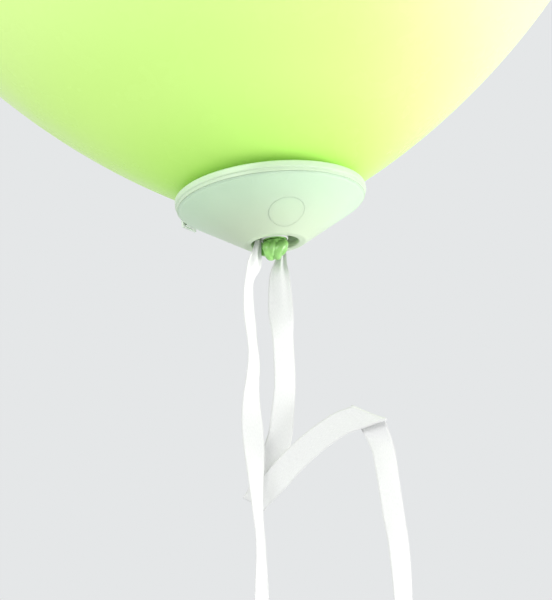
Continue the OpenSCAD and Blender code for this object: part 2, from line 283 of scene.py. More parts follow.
def tube(route, sides=20):
    """A closed round tube along stations of x, y, z, radius, in millimetres."""
    step = 0.35
    stations = curve_through(route, step)
    centres = [Vector(s[:3]) for s in stations]
    points, faces = [], []
    normal = None
    for i, centre in enumerate(centres):
        ahead = (centres[min(i + 1, len(centres) - 1)] - centres[max(i - 1, 0)]).normalized()
        normal = ahead.orthogonal() if normal is None else normal - ahead * normal.dot(ahead)
        normal.normalize()
        across = ahead.cross(normal)
        for k in range(sides):
            a = 2 * math.pi * k / sides
            out = normal * math.cos(a) + across * math.sin(a)
            points.append((centre + stations[i][3] * out) * MM)
    for i in range(len(centres) - 1):
        for k in range(sides):
            j = (k + 1) % sides
            faces.append((i * sides + k, i * sides + j, (i + 1) * sides + j, (i + 1) * sides + k))
    last = (len(centres) - 1) * sides
    for end, base, start in ((0, 0, 0), (1, last, len(centres) - 1)):
        points.append(centres[start] * MM)
        tip = len(points) - 1
        for k in range(sides):
            j = (k + 1) % sides
            faces.append((base + k, base + j, tip) if end else (base + j, base + k, tip))
    return points, faces


def refined(node, name, finish, body, slot, bevel=0.12 * MM, segments=2, ease=None):
    """A hard piece from its CAD solid: joined up, its edges rounded, its round faces smooth.
    ease moves its points a little first, where a gap closes up."""
    weld, flat, sharp = 2e-6, math.radians(0.6), math.radians(32)
    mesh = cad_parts[node].data.copy()
    work = bmesh.new()
    work.from_mesh(mesh)
    bmesh.ops.remove_doubles(work, verts=work.verts, dist=weld)
    bmesh.ops.dissolve_limit(work, angle_limit=flat, verts=work.verts, edges=work.edges)
    bmesh.ops.recalc_face_normals(work, faces=work.faces)
    for v in work.verts if ease else ():
        ease(v)
    work.to_mesh(mesh)
    work.free()
    rough = bpy.data.objects.new(name, mesh)
    bpy.context.scene.collection.objects.link(rough)
    edge = rough.modifiers.new("Edge", "BEVEL")
    edge.width, edge.segments = bevel, segments
    edge.limit_method, edge.angle_limit = "ANGLE", sharp
    edge.use_clamp_overlap = True
    edge.harden_normals = True
    for polygon in mesh.polygons:
        polygon.use_smooth = True
    mesh = evaluated(rough, name)
    return piece(name, mesh, finish, body, slot, node)


def close_seam(v):
    """Lifts the dome's rim until only a hairline is left at the seam."""
    rim_r, rim_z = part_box("dome_cover")[1].x - 0.7 * MM, SEAM_Z - 0.9 * MM
    if math.hypot(v.co.x, v.co.y) > rim_r and v.co.z > rim_z:
        v.co.z += SEAM_LIFT


def true_cone(made):
    """Gives the dome's outer face its cone's normals, so that it shades evenly round the pad."""
    mesh = made.data
    play = math.radians(2.5)
    flare, drop = math.sin(DOME_SLOPE), -math.cos(DOME_SLOPE)
    normals = [Vector(n.vector) for n in mesh.corner_normals]
    for polygon in mesh.polygons:
        face = polygon.normal
        slope = math.atan2(math.hypot(face.x, face.y), -face.z)
        if face.z < drop + 0.01 and abs(slope - DOME_SLOPE) < play:
            for loop in polygon.loop_indices:
                at = mesh.vertices[mesh.loops[loop].vertex_index].co
                a = math.atan2(at.y, at.x)
                normals[loop] = Vector((flare * math.cos(a), flare * math.sin(a), drop))
    mesh.normals_split_custom_set(normals)


def close_pad_gap(v):
    """Widens the press pad until only a hairline is left round it."""
    deep, edge = 2 * MM, 5.5 * MM
    away = v.co - PAD_CENTRE
    flat = away - PAD_AXIS * away.dot(PAD_AXIS)
    if abs(away.dot(PAD_AXIS)) < deep and flat.length > edge:
        v.co += flat.normalized() * PAD_SPREAD


# ---- Finishes ----
def finish(name, **plain):
    """A Principled material with its even values set on the shader's own sockets."""
    made = bpy.data.materials.new(name)
    made.use_nodes = True
    shader = made.node_tree.nodes["Principled BSDF"]
    for label, value in plain.items():
        shader.inputs[label.replace("_", " ")].default_value = value
    return made, made.node_tree, shader


def add(tree, kind, links=(), **values):
    """Adds a node. links pairs an input with the output that feeds it."""
    made = tree.nodes.new("ShaderNode" + kind)
    for label, value in values.items():
        if hasattr(made, label):
            setattr(made, label, value)
        else:
            made.inputs[label.replace("_", " ")].default_value = value
    for label, source in links:
        tree.links.new(source, made.inputs[label])
    return made


def spots(tree, scale, detail=3.0, stretch=(1, 1, 1), source="Object"):
    """Noise on object or cloth coordinates."""
    where = add(tree, "TexCoord")
    mapping = add(tree, "Mapping", [("Vector", where.outputs[source])], Scale=stretch)
    return add(tree, "TexNoise", [("Vector", mapping.outputs["Vector"])], Scale=scale,
               Detail=detail)


def grade(tree, value, low, high, out_low=0.0, out_high=1.0):
    """A soft ramp of a value between two limits."""
    return add(tree, "MapRange", [("Value", value)], interpolation_type="SMOOTHSTEP",
               From_Min=low, From_Max=high, To_Min=out_low, To_Max=out_high).outputs["Result"]


def drifting(tree, noise, a, b, low=0.3, high=0.7):
    """Two colours that drift into each other by a noise."""
    return mix(tree, grade(tree, noise.outputs["Fac"], low, high), a, b)


def mix(tree, factor, a, b):
    """Mixes two colours, each a value or an output, by an output."""
    factor_in, first_in, second_in, colour_out = 0, 6, 7, 2
    made = tree.nodes.new("ShaderNodeMix")
    made.data_type = "RGBA"
    tree.links.new(factor, made.inputs[factor_in])
    for socket, colour in ((made.inputs[first_in], a), (made.inputs[second_in], b)):
        if hasattr(colour, "is_linked"):
            tree.links.new(colour, socket)
        else:
            socket.default_value = colour
    return made.outputs[colour_out]


def bump(tree, shader, height, strength, distance):
    """Raises a shader's surface by a height."""
    made = add(tree, "Bump", [("Height", height)], Strength=strength, Distance=distance)
    tree.links.new(made.outputs["Normal"], shader.inputs["Normal"])


def shade(colour, by):
    """A colour made lighter or darker."""
    return tuple(min(1.0, c * by) for c in colour[:3]) + (1,)


def tinted(colour, red, green, blue):
    """A colour with each part scaled on its own."""
    return colour[0] * red, colour[1] * green, colour[2] * blue, 1


def latex_finish():
    """Blown latex: deep at the neck and crown where it is least stretched, paler where it is
    stretched thinnest, and paler towards +X, which is painted light from the key side. Each band is
    a low and a high limit in millimetres between which one colour becomes the next."""
    bag_band, cradle_band, flank_band, body_band = (2, 14), (15, 48), (45, 85), (85, 260)
    # lit_side_band is painted light: the span along X over which the latex is painted paler, where
    # the key light washes that side out
    lit_side_band, crown_band = (25, 120), (3.5, 0.4)
    colours = bpy.context.scene.balloon_colours
    made, tree, shader = finish("Stretched latex", Roughness=0.3, IOR=1.5,
                                Specular_IOR_Level=0.06)
    place = add(tree, "SeparateXYZ", [("Vector", add(tree, "TexCoord").outputs["Object"])])
    x, z = place.outputs["X"], place.outputs["Z"]

    def band(value, limits, most=1.0):
        return grade(tree, value, limits[0] * MM, limits[1] * MM, 0.0, most)

    body, deep = tuple(colours.latex), tuple(colours.latex_deep)
    # thin_and_lit: the pale colour of thin stretched latex, also used as painted light on the key
    # side
    thin_and_lit = (*(min(0.97, 0.55 * c + 0.42) for c in body[:3]), 1)
    drift = drifting(tree, spots(tree, 9, 3), shade(body, 0.985), shade(body, 1.015), 0.35, 0.7)
    latex = mix(tree, band(z, bag_band), deep, tinted(body, 0.72, 0.92, 0.5))
    latex = mix(tree, band(z, cradle_band), latex, tinted(body, 0.9, 0.97, 0.78))
    latex = mix(tree, band(z, flank_band), latex, drift)
    latex = mix(tree, band(z, body_band, 0.5), latex, thin_and_lit)
    # Painted light: paler towards +X, where the key light falls, not a colour of the latex itself
    latex = mix(tree, band(x, lit_side_band, 0.5), latex, thin_and_lit)
    crown = grade(tree, z, BODY_HIGH.z - crown_band[0] * MM, BODY_HIGH.z - crown_band[1] * MM)
    latex = mix(tree, crown, latex, shade(body, 0.7))
    tree.links.new(latex, shader.inputs["Base Color"])
    tree.links.new(grade(tree, spots(tree, 60, 4).outputs["Fac"], 0.3, 0.7, 0.2, 0.3),
                   shader.inputs["Roughness"])
    return made


def knot_finish():
    """Unstretched latex with pulled wrinkles."""
    colours = bpy.context.scene.balloon_colours
    deep = tuple(colours.latex_deep)
    made, tree, shader = finish("Knotted latex", Roughness=0.32, Coat_Weight=0.35,
                                Coat_Roughness=0.2)
    drift = drifting(tree, spots(tree, 260, 3), shade(deep, 0.85), shade(deep, 1.35), 0.3, 0.75)
    tree.links.new(drift, shader.inputs["Base Color"])
    wrinkles = spots(tree, 420, 3, (1, 1, 0.25))
    bump(tree, shader, wrinkles.outputs["Fac"], 0.25, 0.2 * MM)
    return made


def satin_finish():
    """Satin weave: long floats along the ribbon, fine cross ribs and a close selvedge."""
    colours = bpy.context.scene.balloon_colours
    base = tuple(colours.satin)
    made, tree, shader = finish("White satin", Roughness=0.42, Sheen_Weight=0.2,
                                Sheen_Roughness=0.35, Anisotropic=0.5)
    where = add(tree, "TexCoord")
    across = add(tree, "SeparateXYZ", [("Vector", where.outputs["UV"])])
    floats = spots(tree, 30, 3, (3.2, 0.25, 1), "UV")
    streak = drifting(tree, floats, shade(base, 0.93), shade(base, 1.04))
    offset = add(tree, "Math", [(0, across.outputs["X"])], operation="SUBTRACT")
    offset.inputs[1].default_value = 0.5
    apart = add(tree, "Math", [(0, offset.outputs[0])], operation="ABSOLUTE")
    selvedge = grade(tree, apart.outputs[0], 0.43, 0.47)
    tree.links.new(mix(tree, selvedge, streak, shade(base, 0.9)), shader.inputs["Base Color"])
    tree.links.new(grade(tree, floats.outputs["Fac"], 0.3, 0.7, 0.34, 0.5),
                   shader.inputs["Roughness"])
    ribs = add(tree, "TexWave", [("Vector", where.outputs["UV"])], wave_type="BANDS",
               bands_direction="Y", Scale=9.0, Distortion=0.6, Detail=1.0)
    fine = add(tree, "Math", [(0, ribs.outputs["Fac"]), (1, floats.outputs["Fac"])],
               operation="ADD")
    bump(tree, shader, fine.outputs[0], 0.25, 0.05 * MM)
    return made


def frosted_finish(name, tint, roughness):
    """Milky plastic: light goes into it, and the green light from the latex above is painted into
    its colour as a mint glow, stronger towards the top.
    """
    colours = bpy.context.scene.balloon_colours
    base = tuple(colours.frosted)
    made, tree, shader = finish(name, Roughness=roughness, Subsurface_Weight=0.3,
                                Subsurface_Scale=4 * MM, IOR=1.46)
    shader.inputs["Subsurface Radius"].default_value = (1.0, 1.0, 0.8)
    where = add(tree, "SeparateXYZ", [("Vector", add(tree, "TexCoord").outputs["Object"])])
    milk = drifting(tree, spots(tree, 35, 2), shade(base, 0.97), shade(base, 1.03))
    # Painted light: the mint glow is the balloon's light shining through the plastic, painted in
    # towards the top of each shell by the tint share
    high = grade(tree, where.outputs["Z"], 1 * MM, 15 * MM, 0.0, tint)
    tree.links.new(mix(tree, high, milk, tuple(colours.latex_glow)), shader.inputs["Base Color"])
    bump(tree, shader, spots(tree, 2400, 2).outputs["Fac"], 0.12, 0.05 * MM)
    return made


def mottled_finish(name, colour, roughness, scale, spread=0.12, grain=0.15, **plain):
    """A finish with slight drift in colour and sheen and a fine grain."""
    made, tree, shader = finish(name, Roughness=roughness, **plain)
    cloud = spots(tree, scale, 3)
    tree.links.new(drifting(tree, cloud, shade(colour, 1 - spread), shade(colour, 1 + spread)),
                   shader.inputs["Base Color"])
    tree.links.new(grade(tree, cloud.outputs["Fac"], 0.3, 0.7, roughness * 0.85, roughness * 1.15),
                   shader.inputs["Roughness"])
    bump(tree, shader, spots(tree, scale * 12, 2).outputs["Fac"], grain, 0.04 * MM)
    return made


def brushed_finish(name, colour, roughness):
    """Plated spring steel or brass with fine lines."""
    made, tree, shader = finish(name, Roughness=roughness, Metallic=1.0)
    lines = spots(tree, 700, 2, (1, 0.04, 1))
    tree.links.new(drifting(tree, lines, shade(colour, 0.85), shade(colour, 1.1)),
                   shader.inputs["Base Color"])
    tree.links.new(grade(tree, lines.outputs["Fac"], 0.3, 0.7, roughness * 0.8, roughness * 1.3),
                   shader.inputs["Roughness"])
    return made


def board_finish():
    """Green solder mask with raised, paler tracks under it."""
    mask, track = (0.02, 0.2, 0.07, 1), (0.06, 0.34, 0.14, 1)
    made, tree, shader = finish("Solder mask", Roughness=0.3, Coat_Weight=0.4, Coat_Roughness=0.15)
    where = add(tree, "TexCoord").outputs["Object"]
    rings = add(tree, "TexWave", [("Vector", where)], wave_type="RINGS", rings_direction="Z",
                Scale=110.0, Distortion=1.5, Detail=1.0)
    tracks = grade(tree, rings.outputs["Fac"], 0.72, 0.8)
    tree.links.new(mix(tree, tracks, mask, track), shader.inputs["Base Color"])
    bump(tree, shader, tracks, 0.3, 0.03 * MM)
    return made


def lamp_finish():
    """White lamp package with a yellow phosphor face on its low side."""
    made, tree, shader = finish("Lamp package", Roughness=0.35)
    where = add(tree, "SeparateXYZ", [("Vector", add(tree, "TexCoord").outputs["Object"])])
    face = grade(tree, where.outputs["Z"], LAMP_LOW.z + 0.75 * MM, LAMP_LOW.z + 0.6 * MM)
    cloud = spots(tree, 900, 2)
    white = mix(tree, cloud.outputs["Fac"], (0.8, 0.8, 0.76, 1), (0.9, 0.9, 0.87, 1))
    tree.links.new(mix(tree, face, white, (0.93, 0.72, 0.16, 1)), shader.inputs["Base Color"])
    return made


def film_finish():
    """Cloudy pale film that lets a little light through."""
    made, tree, shader = finish("Clear film", Roughness=0.3, Transmission_Weight=0.12, IOR=1.3)
    dull, pale = (0.74, 0.83, 0.73, 1), (0.8, 0.87, 0.77, 1)
    tree.links.new(drifting(tree, spots(tree, 300, 2), dull, pale, 0.35, 0.65),
                   shader.inputs["Base Color"])
    return made


# ---- Balloon ----
def skin_outline(inset):
    """The skin's line from the crown to where the flank goes straight, drawn in by an inset."""
    dome_steps, flank_steps = 96, 40
    sizes = bpy.context.scene.balloon_sizes
    radius = BODY_HIGH.x
    middle = BODY_HIGH.z - radius
    slope, low, flank = sizes.flank_slope, sizes.low_slope, sizes.flank_radius
    line = arc(0, middle, radius - inset, QUARTER_TURN, slope - QUARTER_TURN, dome_steps)
    line[0] = (0.0, line[0][1])
    cx = radius * math.sin(slope) - flank * math.sin(slope)
    cz = middle - radius * math.cos(slope) + flank * math.cos(slope)
    line += arc(cx, cz, flank - inset, slope - QUARTER_TURN, low - QUARTER_TURN, flank_steps)[1:]
    return line


def skin_mesh():
    """One closed skin: crown, flank, cradle, the bag's round bottom and neck, then back inside."""
    sizes = bpy.context.scene.balloon_sizes
    wall, rest_r = sizes.skin_wall, sizes.rest_radius
    hole_r, hole_z = NECK_HIGH.x, NECK_HIGH.z
    rest_z = hole_z + (rest_r - hole_r) * math.tan(CRADLE_SLOPE)
    bag_low, bag_r, bag_steps = LOOP_HIGH.z + 0.2 * MM, hole_r - NECK_R, 14
    heel_in, heel_up, hole_drop = 0.2 * MM, 0.35 * MM, 1.5 * MM
    outer = skin_outline(0)
    inner = skin_outline(wall)
    for line, inset in ((outer, 0), (inner, wall)):
        low = line[-1]
        line += [(low[0] + (rest_r - low[0]) * t, low[1] + (rest_z + inset - low[1]) * t)
                 for t in (0.3, 0.6, 0.85)]
        line += [(rest_r - heel_in, rest_z + heel_up + inset)]
        line += [(rest_r + (hole_r - rest_r) * t, rest_z + (hole_z - rest_z) * t + inset)
                 for t in (0.12, 0.3, 0.55, 0.8)]
        line += [(hole_r - inset, hole_z - hole_drop),
                 (hole_r - inset, (hole_z + bag_low + bag_r) / 2)]
        line += arc(NECK_R, bag_low + bag_r, bag_r - inset, 0, -QUARTER_TURN, bag_steps)
        line += [(NECK_R - inset, bag_low + (KNOT_HIGH.z - bag_low) * t) for t in (0.35, 0.7, 1.0)]
    return lathe("Skin", outer + inner[::-1], sizes.skin_turns)


def gathered_neck(mesh):
    """Draws the bag's bottom and the neck into soft pleats, as latex is where it narrows."""
    pleats, sway, depth, lift = 13, 1.3, 0.09, 0.5 * MM
    low_fade, high_fade = 3 * MM, 9 * MM
    hole_r = NECK_HIGH.x
    for v in mesh.vertices:
        r = math.hypot(v.co.x, v.co.y)
        if r < hole_r * 1.02 and v.co.z < NECK_HIGH.z:
            a = math.atan2(v.co.y, v.co.x)
            fade = min(1.0, max(0.0, (v.co.z - KNOT_HIGH.z) / low_fade))
            fade *= min(1.0, max(0.0, (NECK_HIGH.z - v.co.z) / high_fade))
            pleat = 0.5 + 0.5 * math.sin(pleats * a + sway * math.sin(3 * a))
            shrink = 1 - depth * fade * pleat
            v.co.x *= shrink
            v.co.y *= shrink
            v.co.z += lift * fade * pleat if r > hole_r * 0.52 else 0
    return mesh


# Wraps of the overhand knot in millimetres: x, y, z, radius
KNOT_WRAPS = (
    ((0, 0, 0.95, 4.0), (0, 0.1, -0.6, 3.9), (0, 0.4, -2.2, 3.2), (0, 0.6, -3.8, 2.3)),
    ((-1.4, 1.6, -0.5, 1.6), (-3.0, 0.2, -0.7, 1.8), (-3.1, -1.5, -0.9, 1.8),
     (-2.8, -2.4, -2.2, 2.05), (-2.6, -2.2, -3.9, 1.85), (-2.5, -1.2, -5.0, 1.6),
     (-1.8, 0.9, -4.6, 1.7), (-0.6, 2.0, -3.4, 1.8)),
    ((-0.5, -2.6, 0.1, 0.9), (-0.6, -3.5, -0.9, 1.05), (-0.9, -3.8, -2.4, 1.0),
     (-1.3, -3.5, -3.9, 0.85), (-1.7, -2.5, -5.4, 0.8)),
    ((1.8, 1.6, -0.6, 1.7), (3.2, 0.4, -0.7, 1.7), (3.1, -1.3, -0.8, 1.85),
     (2.3, -2.3, -1.8, 2.1), (1.3, -2.5, -3.0, 2.0), (0.55, -2.0, -4.4, 1.7),
     (0.35, -0.6, -5.3, 1.45), (0.6, 1.4, -4.4, 1.6)),
    ((3.4, 0.2, -1.2, 1.5), (2.1, 2.2, -2.1, 2.0), (-0.6, 2.7, -3.0, 2.0),
     (-2.7, 1.3, -3.6, 1.6)),
)


def knot_mesh():
    """Wraps joined into one skin with creases where they cross."""
    grain = 0.16 * MM
    points, faces = [], []
    for wrap in KNOT_WRAPS:
        more, walls = tube(wrap)
        faces += [tuple(i + len(points) for i in wall) for wall in walls]
        points += more
    rough = bpy.data.objects.new("Wraps", smooth_mesh("Wraps", points, faces))
    bpy.context.scene.collection.objects.link(rough)
    melt = rough.modifiers.new("Melt", "REMESH")
    melt.mode, melt.voxel_size, melt.use_smooth_shade = "VOXEL", grain, True
    ease = rough.modifiers.new("Ease", "SMOOTH")
    ease.factor, ease.iterations = 0.5, 3
    return evaluated(rough, "Knot")


def spare_end_mesh():
    """The spare end: a flattened tube with a wavy wall."""
    rows, sides = 26, 36
    half_wide, flare, half_thick, wave_depth = 2.0, 0.5, 0.48 * MM, 0.16 * MM
    centre = (TAIL_LOW + TAIL_HIGH) / 2
    points, faces = [], []
    for i in range(rows + 1):
        t = i / rows
        z = TAIL_LOW.z + (TAIL_HIGH.z - TAIL_LOW.z) * t
        for k in range(sides):
            a = 2 * math.pi * k / sides
            wave = wave_depth * math.sin(3 * a + 5 * t) * (1 - 0.4 * t)
            wide = (half_wide + flare * t) * MM
            flat = Vector((centre.x, centre.y, z))
            points.append(flat + SPARE_ACROSS * wide * math.cos(a)
                          + SPARE_OUT * (half_thick * math.sin(a) + wave * 0.5))
    for i in range(rows):
        for k in range(sides):
            j = (k + 1) % sides
            faces.append((i * sides + k, i * sides + j, (i + 1) * sides + j, (i + 1) * sides + k))
    faces.append(tuple(range(sides - 1, -1, -1)))
    faces.append(tuple(rows * sides + k for k in range(sides)))
    return outward(smooth_mesh("Spare end", points, faces))


def bead_mesh():
    """The rolled lip, a flattened ring on the spare end."""
    turns, half_wide, half_thick, bead_r, wave = 24, 2.0, 0.45, 0.44, 0.12
    centre = (BEAD_LOW + BEAD_HIGH) / 2 / MM
    route = []
    for k in range(turns + 1):
        a = 2 * math.pi * k / turns
        at = centre + SPARE_ACROSS * half_wide * math.cos(a) + SPARE_OUT * half_thick * math.sin(a)
        route.append((at.x, at.y, at.z + wave * math.sin(2 * a), bead_r))
    points, faces = tube(route, 14)
    return outward(smooth_mesh("Rolled lip", points, faces))


# ---- Ribbon ----
def rows_of(route, flip=1):
    """Rows of the ribbon along a route, in metres: its plus edge, its minus edge and its spread."""
    half = bpy.context.scene.balloon_sizes.ribbon_width / 2
    rows = []
    places = [Vector(s[:3]) * MM for s in route]
    for i, station in enumerate(route):
        ahead = (places[min(i + 1, len(places) - 1)] - places[max(i - 1, 0)]).normalized()
        turn, spread = math.radians(station[3]), station[4]
        side = ahead.cross(Vector((math.sin(turn), -math.cos(turn), 0))).normalized()
        reach = side * half * spread * flip
        rows.append((*(places[i] + reach), *(places[i] - reach), spread))
    return rows


def crease_row(crease, depth):
    """One row along a crease, at a depth in millimetres."""
    (x1, z1), (x2, z2) = crease[:2]
    return (x1 * MM, depth * MM, z1 * MM, x2 * MM, depth * MM, z2 * MM, 1.0)


def bend_rows(crease, steps=6):
    """Rows round a sharp fold, from its first layer to its second."""
    (x1, z1), (x2, z2), before, after, (bx, bz) = crease
    radius, bulge = abs(after - before) / 2, 0.8
    middle = (before + after) / 2
    rows = []
    for i in range(1, steps):
        a = math.pi * i / steps
        push = radius * bulge * math.sin(a)
        depth = middle + (before - middle) * math.cos(a)
        rows.append((
            (x1 + bx * push) * MM, depth * MM, (z1 + bz * push) * MM,
            (x2 + bx * push) * MM, depth * MM, (z2 + bz * push) * MM, 1.0,
        ))
    return rows


def cloth_lift(s, run, spread, width):
    """How far the cloth stands off its middle plane at s, from -1 to 1 across, after a run."""
    slack = math.sqrt(max(0.0, 1 - spread ** 2))
    pleat = 0.07 * width * slack * math.sin(math.pi * 1.6 * s + 0.9 + run * 45)
    cup = 0.22 * MM * (1 - s * s) * spread
    ripple = 0.07 * MM * math.sin(run * 210 + 2.1 * s) * spread
    return pleat + cup + ripple


def ribbon_mesh(name, rows):
    """A closed cloth strip from its two edges: cupped, pleated where gathered, thicker at the edge.
    Gives the mesh and the line along its middle."""
    selvedge_from, rim_from, rim_share = 0.86, 0.99, 0.35
    sizes = bpy.context.scene.balloon_sizes
    width = sizes.ribbon_width
    points, uvs, centres = [], [], []
    run = 0.0
    ring = 2 * (CLOTH_STEPS + 1)
    for i, row in enumerate(rows):
        plus, minus, spread = Vector(row[:3]), Vector(row[3:6]), min(1.0, row[6])
        centre = (plus + minus) / 2
        if centres:
            run += (centre - centres[-1]).length
        centres.append(centre)
        before, after = rows[max(i - 1, 0)], rows[min(i + 1, len(rows) - 1)]
        ahead = (Vector(after[:3]) + Vector(after[3:6]) - Vector(before[:3]) - Vector(before[3:6]))
        face = (plus - minus).cross(ahead)
        face = face.normalized() if face.length > 1e-12 else Vector((0, -1, 0))
        for side in (1, -1):
            for k in range(CLOTH_STEPS + 1)[::side]:
                s = 2 * k / CLOTH_STEPS - 1
                wall = sizes.edge_wall if abs(s) > selvedge_from else sizes.ribbon_wall
                wall *= rim_share if abs(s) > rim_from else 1.0
                at = centre + (plus - minus) / 2 * s
                lift = cloth_lift(s, run, spread, width)
                points.append(at + face * (lift + side * wall / 2))
                uvs.append((0.5 + s / 2, run / width))
    faces = []
    for i in range(len(rows) - 1):
        for k in range(ring):
            j = (k + 1) % ring
            faces.append((i * ring + k, i * ring + j, (i + 1) * ring + j, (i + 1) * ring + k))
    for base, flip in ((0, False), ((len(rows) - 1) * ring, True)):
        for k in range(CLOTH_STEPS):
            face = (base + k, base + k + 1, base + ring - 2 - k, base + ring - 1 - k)
            faces.append(face[::-1] if flip else face)
    mesh = smooth_mesh(name, points, faces, uvs)
    return outward(mesh), centres


def slanted(rows):
    """Slants the last rows, as scissors leave a ribbon's end."""
    made = []
    count, minus_share = 8, 0.2
    for i, row in enumerate(rows):
        lift = CUT_SLANT * max(0, i - (len(rows) - 1 - count)) / count
        made.append((row[0], row[1], row[2] + lift, row[3], row[4], row[5] - lift * minus_share,
                     row[6]))
    return made


def left_rows():
    """The left tail, straight down from the turn round the neck."""
    return slanted(curve_through(rows_of(LEFT_ROUTE), ROW_STEP))


def right_rows():
    """The right tail in one length: down, back up over the arch, and down again."""
    upper, arch, lower = rows_of(UPPER_ROUTE), rows_of(ARCH_ROUTE, -1), rows_of(LOWER_ROUTE)
    upper.append(crease_row(LOW_CREASE, LOW_CREASE[2]))
    arch.insert(0, crease_row(LOW_CREASE, LOW_CREASE[3]))
    arch.append(crease_row(HIGH_CREASE, HIGH_CREASE[2]))
    lower.insert(0, crease_row(HIGH_CREASE, HIGH_CREASE[3]))
    rows = curve_through(upper, ROW_STEP) + bend_rows(LOW_CREASE)
    rows += curve_through(arch, ROW_STEP) + bend_rows(HIGH_CREASE) + curve_through(lower, ROW_STEP)
    return slanted(rows)


def loop_mesh():
    """The ribbon's turn round the neck, gathered into soft cords."""
    turns, steps, fold_depth = 96, 22, 0.09 * MM
    width = bpy.context.scene.balloon_sizes.ribbon_width
    low, high = LOOP_LOW.z, LOOP_HIGH.z
    inner, outer = NECK_R + 0.04 * MM, LOOP_HIGH.x
    mid_r = (inner + outer) / 2
    points, faces, uvs = [], [], []
    for i in range(turns):
        a = 2 * math.pi * i / turns
        for k in range(steps):
            b = 2 * math.pi * k / steps
            fold = fold_depth * math.sin(5 * b + 2 * math.sin(a) + 3 * a)
            r = mid_r + (outer - inner) / 2 * math.cos(b) * 0.86 + fold * abs(math.cos(b))
            z = (low + high) / 2 + (high - low) / 2 * math.sin(b) * 0.92
            points.append((r * math.cos(a), r * math.sin(a), z))
            uvs.append((k / steps, a * mid_r / width))
    for i in range(turns):
        for k in range(steps):
            n, m = (i + 1) % turns, (k + 1) % steps
            faces.append((i * steps + k, n * steps + k, n * steps + m, i * steps + m))
    return outward(smooth_mesh("Ribbon loop", points, faces, uvs))


# ---- Rings of like parts ----
class Tree:
    """A Geometry Nodes tree under construction."""

    def __init__(self, name, inputs):
        self.group = bpy.data.node_groups.new(name, "GeometryNodeTree")
        face = self.group.interface
        self.keys = {}
        for label, kind, value in inputs:
            socket = face.new_socket(label, in_out="INPUT", socket_type="NodeSocket" + kind)
            socket.default_value = value
            self.keys[label] = (socket.identifier, value)
        face.new_socket("Geometry", in_out="OUTPUT", socket_type="NodeSocketGeometry")
        self.start = self.group.nodes.new("NodeGroupInput")
        self.end = self.group.nodes.new("NodeGroupOutput")

    def value(self, label):
        return self.start.outputs[label]

    def add(self, kind, settings=None, **inputs):
        made = self.group.nodes.new(kind)
        for label, value in (settings or {}).items():
            setattr(made, label, value)
        for label, value in inputs.items():
            socket = made.inputs[int(label[1:])] if label[0] == "i" and label[1:].isdigit() else (
                made.inputs[label.replace("_", " ")])
            if hasattr(value, "is_linked"):
                self.group.links.new(value, socket)
            else:
                socket.default_value = value
        return made

    def math(self, operation, a, b=0.0):
        return self.add("ShaderNodeMath", {"operation": operation}, i0=a, i1=b).outputs[0]

    def join(self, *parts):
        made = self.group.nodes.new("GeometryNodeJoinGeometry")
        for part in parts:
            self.group.links.new(part, made.inputs[0])
        return made.outputs[0]

    def moved(self, part, offset=(0, 0, 0), scale=(1, 1, 1)):
        return self.add("GeometryNodeTransform", None, Geometry=part, Translation=offset,
                        Scale=scale).outputs[0]

    def ring(self, part, finish_used):
        """Copies a part round Z: Count places from First, a Step apart, on a Ring radius."""
        line = self.add("GeometryNodeMeshLine", None, Count=self.value("Count"))
        order = self.add("GeometryNodeInputIndex").outputs[0]
        turn = self.math("MULTIPLY", order, self.value("Step"))
        turn = self.math("ADD", self.value("First"), turn)
        x = self.math("MULTIPLY", self.math("COSINE", turn), self.value("Ring radius"))
        y = self.math("MULTIPLY", self.math("SINE", turn), self.value("Ring radius"))
        place = self.add("ShaderNodeCombineXYZ", None, X=x, Y=y, Z=self.value("Height")).outputs[0]
        spin = self.add("ShaderNodeCombineXYZ", None, Z=turn).outputs[0]
        set_place = self.add("GeometryNodeSetPosition", None, Geometry=line.outputs[0],
                             Position=place)
        copies = self.add("GeometryNodeInstanceOnPoints", None, Points=set_place.outputs[0],
                          Instance=part, Rotation=spin)
        real = self.add("GeometryNodeRealizeInstances", None, Geometry=copies.outputs[0])
        dressed = self.add("GeometryNodeSetMaterial", None, Geometry=real.outputs[0])
        dressed.inputs["Material"].default_value = finish_used
        self.group.links.new(dressed.outputs[0], self.end.inputs[0])

    def mesh(self, name):
        """Runs the tree on an empty mesh and gives the plain result."""
        host = bpy.data.objects.new(name, bpy.data.meshes.new(name))
        bpy.context.scene.collection.objects.link(host)
        run = host.modifiers.new(name, "NODES")
        run.node_group = self.group
        for key, value in self.keys.values():
            run[key] = value
        return evaluated(host, name)


def ring_inputs(count, radius, height, first, step, *more):
    """Named inputs of a ring; first and step are in degrees."""
    return [("Count", "Int", count), ("Ring radius", "Float", radius), ("Height", "Float", height),
            ("First", "Float", math.radians(first)), ("Step", "Float", math.radians(step)),
            *more]


def lamp_tree(finish_used):
    """Lamp packages under the board, each with a domed lens facing down."""
    tree = Tree("Lamp ring", ring_inputs(
        5, 16.5 * MM, LAMP_HIGH.z, -14, 60,
        ("Package", "Vector", (2.8 * MM, 3.5 * MM, 1.3 * MM)),
        ("Lens radius", "Float", 1.15 * MM)))
    package = tree.add("GeometryNodeMeshCube", None, Size=tree.value("Package")).outputs[0]
    package = tree.moved(package, (0, 0, -0.65 * MM))
    lens = tree.add("GeometryNodeMeshUVSphere", None, Segments=24, Rings=12,
                    Radius=tree.value("Lens radius")).outputs[0]
    lens = tree.moved(lens, (0, 0, -1.3 * MM), (1, 1, 0.5))
    lead = tree.add("GeometryNodeMeshCube", None, Size=(0.8 * MM, 3.9 * MM, 0.3 * MM)).outputs[0]
    leads = [tree.moved(lead, (x * MM, 0, -0.2 * MM)) for x in (-0.7, 0.7)]
    tree.ring(tree.join(package, lens, *leads), finish_used)
    return tree


